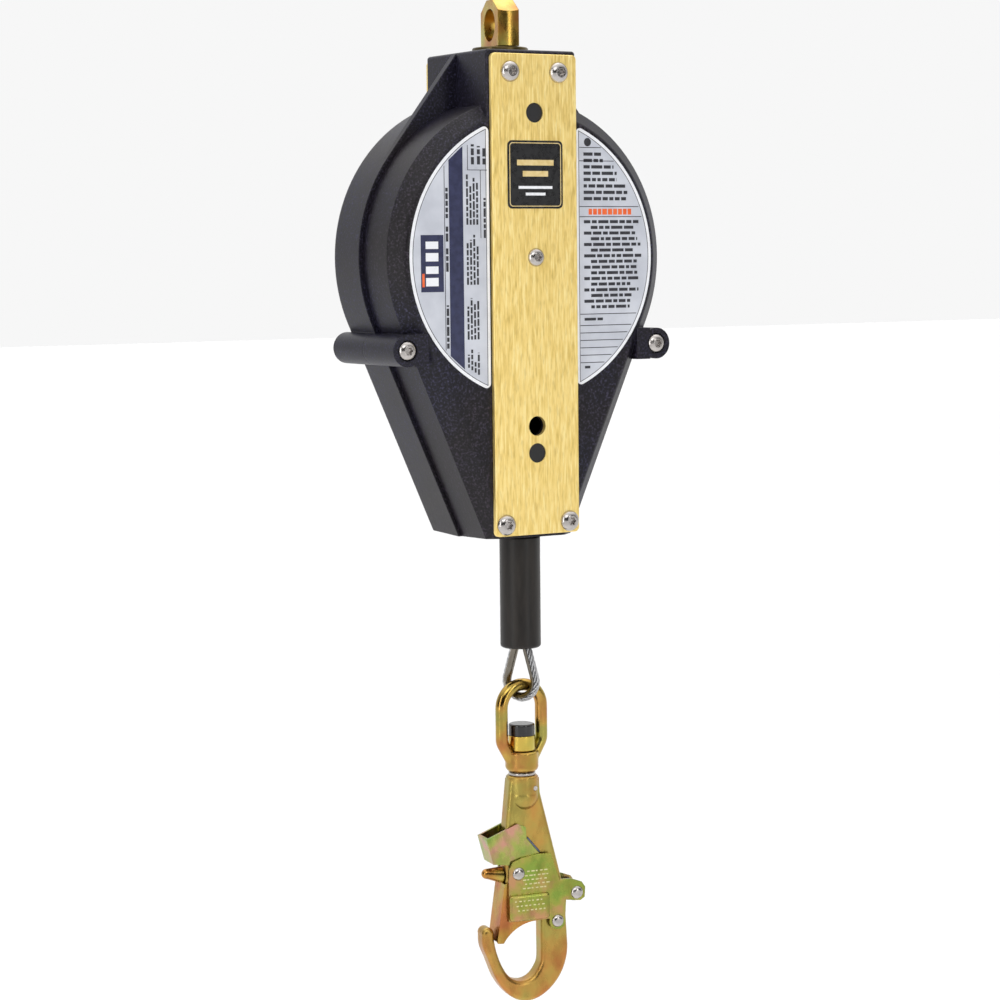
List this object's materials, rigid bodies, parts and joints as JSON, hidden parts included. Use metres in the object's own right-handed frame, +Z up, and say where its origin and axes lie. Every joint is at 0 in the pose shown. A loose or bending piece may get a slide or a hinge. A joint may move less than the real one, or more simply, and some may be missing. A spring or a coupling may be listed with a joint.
{
  "type": "self retracting lifeline",
  "caption": "Self retracting lifeline: round casing that tapers to a cable nozzle, load plates, swivel anchor eye, wire lifeline with bumper, swivel and snap hook.",
  "frame": {"origin": "centre of the anchor eye's hole, at half its length", "axes": "+Z up, along the lifeline; -Y towards the front side plate; +X to the right seen from the front"},
  "size_m": [0.201, 0.0882, 0.6271],
  "materials": {
    "casing_plastic": "fine grained dark navy-black plastic",
    "plate_gold": "brushed, pale gold",
    "stainless": "bright button heads",
    "steel": "machined",
    "zinc_gold": "yellow zinc",
    "zinc_green": "yellow-green iridescent zinc",
    "rubber_black": "soft sheen",
    "black_plastic": "gloss",
    "label_face": "printed label, silver-white",
    "badge_face": "black badge with a gold border",
    "drum_alloy": "cast, satin",
    "bronze": "plain bearing",
    "cable_steel": "stranded, galvanised",
    "spring_steel": "blued strip",
    "friction": "brake lining"
  },
  "bodies": {
    "anchor": {"anchor_eye": "zinc_gold", "anchor_nut": "steel"},
    "casing": {"anchor_washer": "zinc_gold", "anchor_block": "drum_alloy", "thrust_washer": "bronze", "front_housing": "casing_plastic", "rear_housing": "casing_plastic", "front_side_plate": "plate_gold", "rear_side_plate": "plate_gold", "plate_screws": "stainless", "axle_screws": "stainless", "lug_screws": "stainless", "lug_nuts": "stainless", "hole_plugs": "black_plastic", "badge": "badge_face", "label_left": "label_face", "label_right": "label_face", "nozzle_block": "black_plastic", "cable_nozzle": "black_plastic", "main_axle": "steel", "spring_arbor": "steel", "brake_hub": "steel", "friction_discs": "friction", "pressure_plate": "steel", "disc_spring": "spring_steel", "brake_nut": "steel", "lifeline_inner_run": "cable_steel"},
    "drum": {"cable_drum": "drum_alloy", "drum_bushes": "bronze", "lifeline_coil": "cable_steel", "cable_stop": "cable_steel", "power_spring": "spring_steel", "spring_cover": "drum_alloy", "cover_screws": "stainless", "pawl_pins": "steel", "pawl_springs": "spring_steel"},
    "ratchet": {"ratchet_wheel": "steel"},
    "right_pawl": {"pawl_right": "steel"},
    "left_pawl": {"pawl_left": "steel"},
    "lifeline_end": {"lifeline_tail": "cable_steel", "ferrule": "drum_alloy", "bumper": "rubber_black", "lifeline_eye": "cable_steel", "thimble": "stainless"},
    "bow": {"swivel_bow": "zinc_gold"},
    "hook": {"swivel_stud": "steel", "swivel_nut": "zinc_gold", "swivel_cap": "black_plastic", "swivel_washer": "stainless", "hook_body": "zinc_gold", "hook_pins": "stainless", "lever_pivot_pin": "stainless", "lever_spring": "spring_steel"},
    "hook_gate": {"gate": "zinc_gold", "gate_spring": "spring_steel"},
    "latch": {"thumb_latch": "zinc_green", "latch_spring": "spring_steel"},
    "lock_lever": {"lock_plate_front": "zinc_green", "lock_plate_rear": "zinc_green", "lock_pins": "stainless"}
  },
  "joints": [
    {"name": "anchor_swivel", "type": "hinge", "parent": "anchor", "child": "casing", "pos_m": [0, 0, -0.03], "axis": [0, 0, 1], "continuous": true},
    {"name": "drum_spin", "type": "hinge", "parent": "casing", "child": "drum", "pos_m": [0, 0, -0.1428], "axis": [0, 1, 0], "range_deg": [0, 720], "stiffness_Nm_per_rad": 0.12, "springref_deg": -1145.92},
    {"name": "lifeline_payout", "type": "slide", "parent": "casing", "child": "lifeline_end", "axis": [0, 0, -1], "range_m": [0, 0.9661], "deforming": ["lifeline_tail"]},
    {"name": "right_pawl_swing", "type": "hinge", "parent": "drum", "child": "right_pawl", "pos_m": [0.058, 0, -0.1428], "axis": [0, 1, 0], "range_deg": [0, 13], "stiffness_Nm_per_rad": 0.05, "springref_deg": -28.65},
    {"name": "left_pawl_swing", "type": "hinge", "parent": "drum", "child": "left_pawl", "pos_m": [-0.058, 0, -0.1428], "axis": [0, 1, 0], "range_deg": [0, 13], "stiffness_Nm_per_rad": 0.05, "springref_deg": -28.65},
    {"name": "brake_slip", "type": "hinge", "parent": "casing", "child": "ratchet", "pos_m": [0, 0, -0.1428], "axis": [0, 1, 0], "range_deg": [0, 360]},
    {"name": "bow_swing", "type": "hinge", "parent": "lifeline_end", "child": "bow", "pos_m": [0, -0.018, -0.4094], "axis": [1, 0, 0], "range_deg": [-40, 40]},
    {"name": "hook_swivel", "type": "hinge", "parent": "bow", "child": "hook", "pos_m": [0, -0.018, -0.4643], "axis": [0, 0, 1], "continuous": true},
    {"name": "gate_hinge", "type": "hinge", "parent": "hook", "child": "hook_gate", "pos_m": [-0.00791, -0.01683, -0.5401], "axis": [-0.1461, -0.9893, 0], "range_deg": [0, 40], "stiffness_Nm_per_rad": 0.1, "springref_deg": -57.3},
    {"name": "latch_press", "type": "hinge", "parent": "hook", "child": "latch", "pos_m": [0.00198, -0.01829, -0.522], "axis": [0.1461, 0.9893, 0], "range_deg": [0, 10], "stiffness_Nm_per_rad": 0.1, "springref_deg": -34.38},
    {"name": "lever_press", "type": "hinge", "parent": "hook", "child": "lock_lever", "pos_m": [0.01939, -0.02086, -0.5605], "axis": [-0.1461, -0.9893, 0], "range_deg": [0, 5], "stiffness_Nm_per_rad": 0.3, "springref_deg": -22.92}
  ],
  "couplings": [
    {"joint": "lifeline_payout", "follows": "drum_spin", "m_per_rad": 0.0768}
  ]
}
